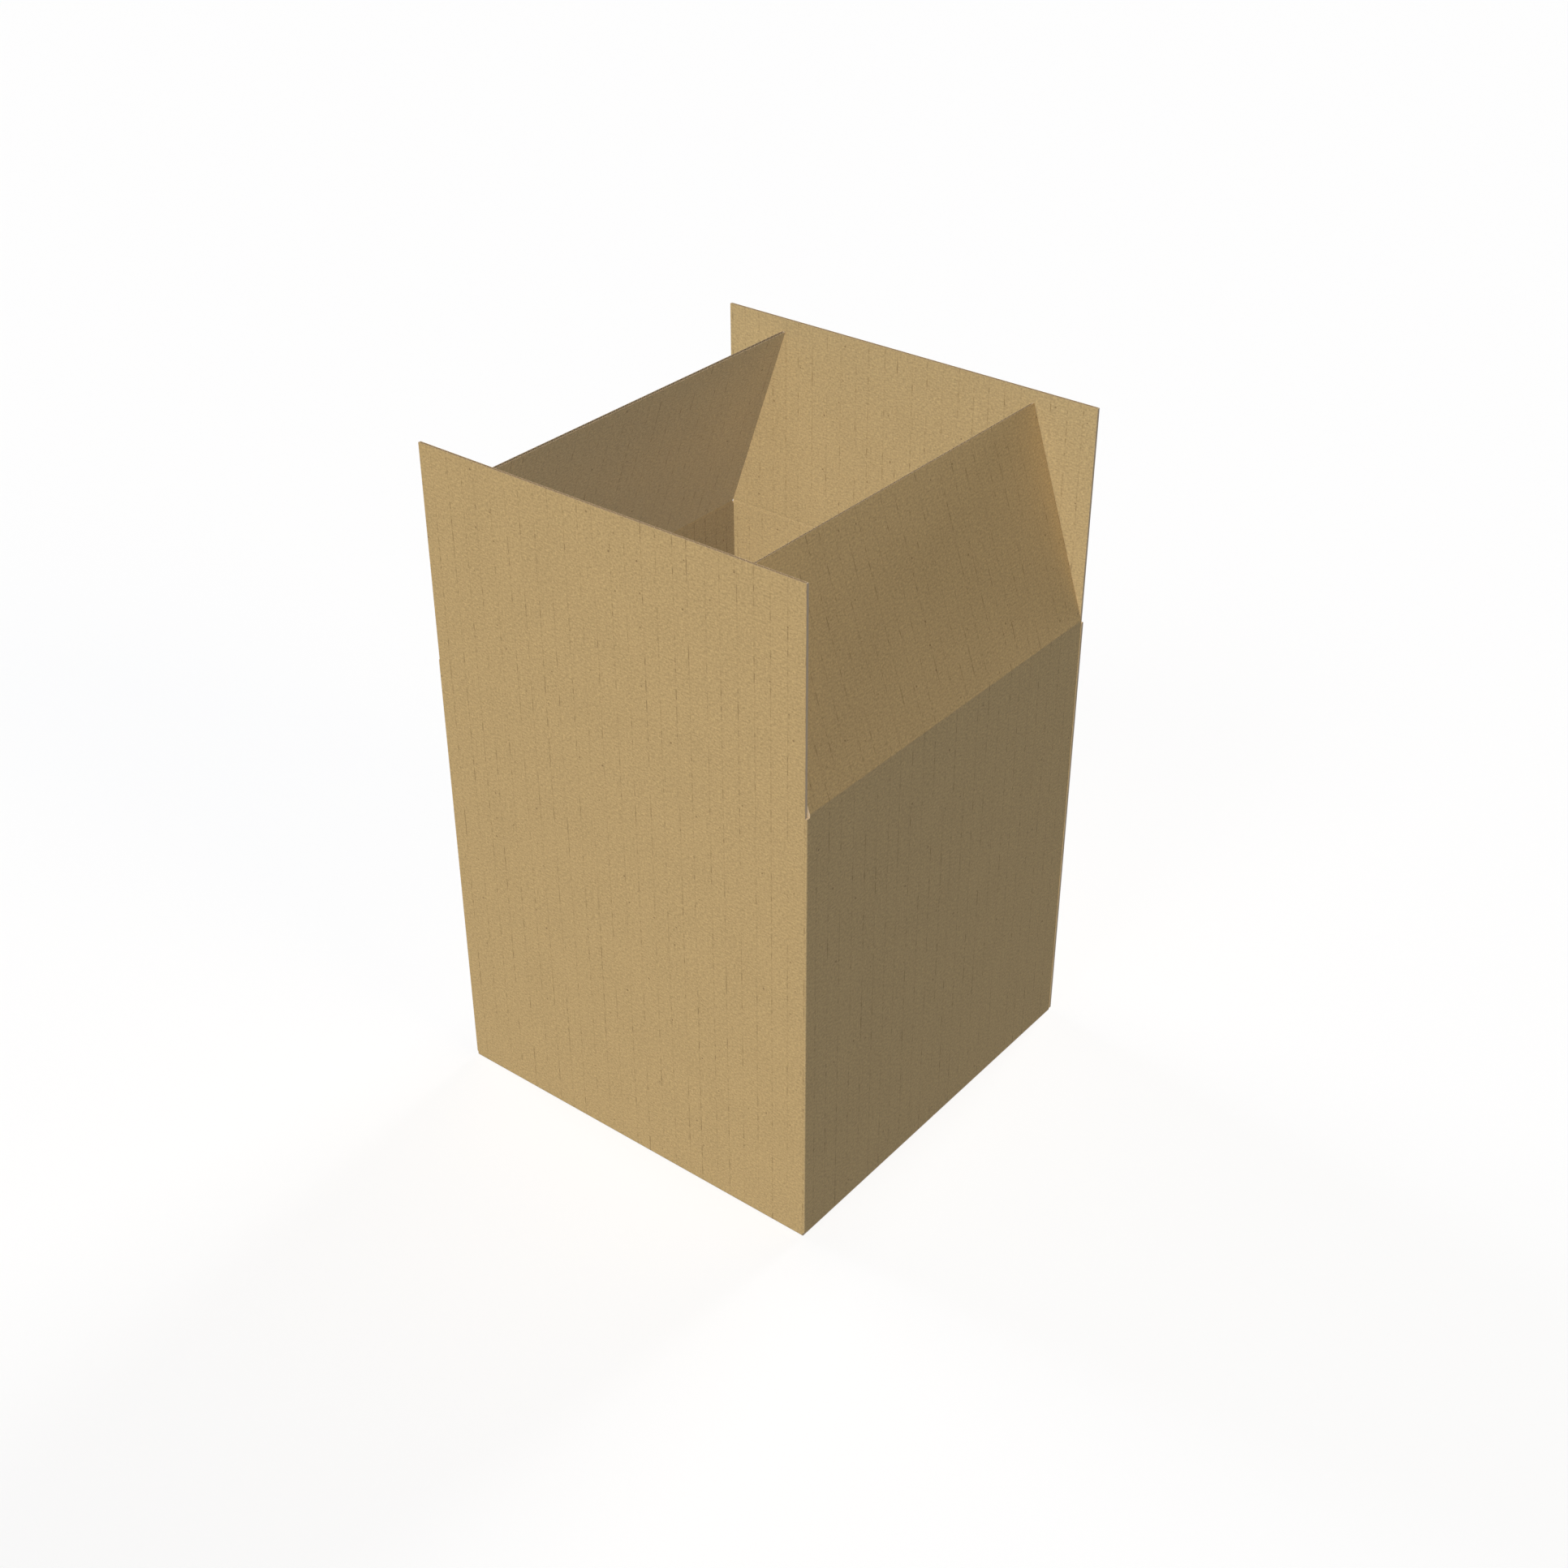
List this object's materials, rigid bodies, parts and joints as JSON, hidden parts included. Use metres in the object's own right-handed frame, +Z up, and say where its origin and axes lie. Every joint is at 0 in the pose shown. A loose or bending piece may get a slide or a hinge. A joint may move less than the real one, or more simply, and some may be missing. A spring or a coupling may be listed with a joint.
{
  "type": "cardboard box",
  "caption": "Open shipping carton of plain brown corrugated board: square upright box with a glued bottom and hinged top flaps, for packing goods.",
  "frame": {"origin": "middle of the bottom, on the floor", "axes": "+Z up, front wall facing -Y, +X to the right seen from the front"},
  "size_m": [0.463, 0.463, 0.742],
  "materials": {
    "kraft_board": "matte unbleached kraft liner with faint upright flute marks"
  },
  "bodies": {
    "carton": {"carton_body": "kraft_board"},
    "front_top_flap": {"front_flap": "kraft_board"},
    "right_top_flap": {"right_flap": "kraft_board"},
    "back_top_flap": {"back_flap": "kraft_board"},
    "left_top_flap": {"left_flap": "kraft_board"}
  },
  "joints": [
    {"name": "front_flap_crease", "type": "hinge", "parent": "carton", "child": "front_top_flap", "pos_m": [0, -0.2315, 0.511], "axis": [-1, 0, 0], "range_deg": [-170, 0]},
    {"name": "right_flap_crease", "type": "hinge", "parent": "carton", "child": "right_top_flap", "pos_m": [0.2315, 0, 0.511], "axis": [0, -1, 0], "range_deg": [-188.4, 71.6]},
    {"name": "back_flap_crease", "type": "hinge", "parent": "carton", "child": "back_top_flap", "pos_m": [0, 0.2315, 0.511], "axis": [1, 0, 0], "range_deg": [-170, 0]},
    {"name": "left_flap_crease", "type": "hinge", "parent": "carton", "child": "left_top_flap", "pos_m": [-0.2315, 0, 0.511], "axis": [0, 1, 0], "range_deg": [-189.1, 70.9]}
  ]
}
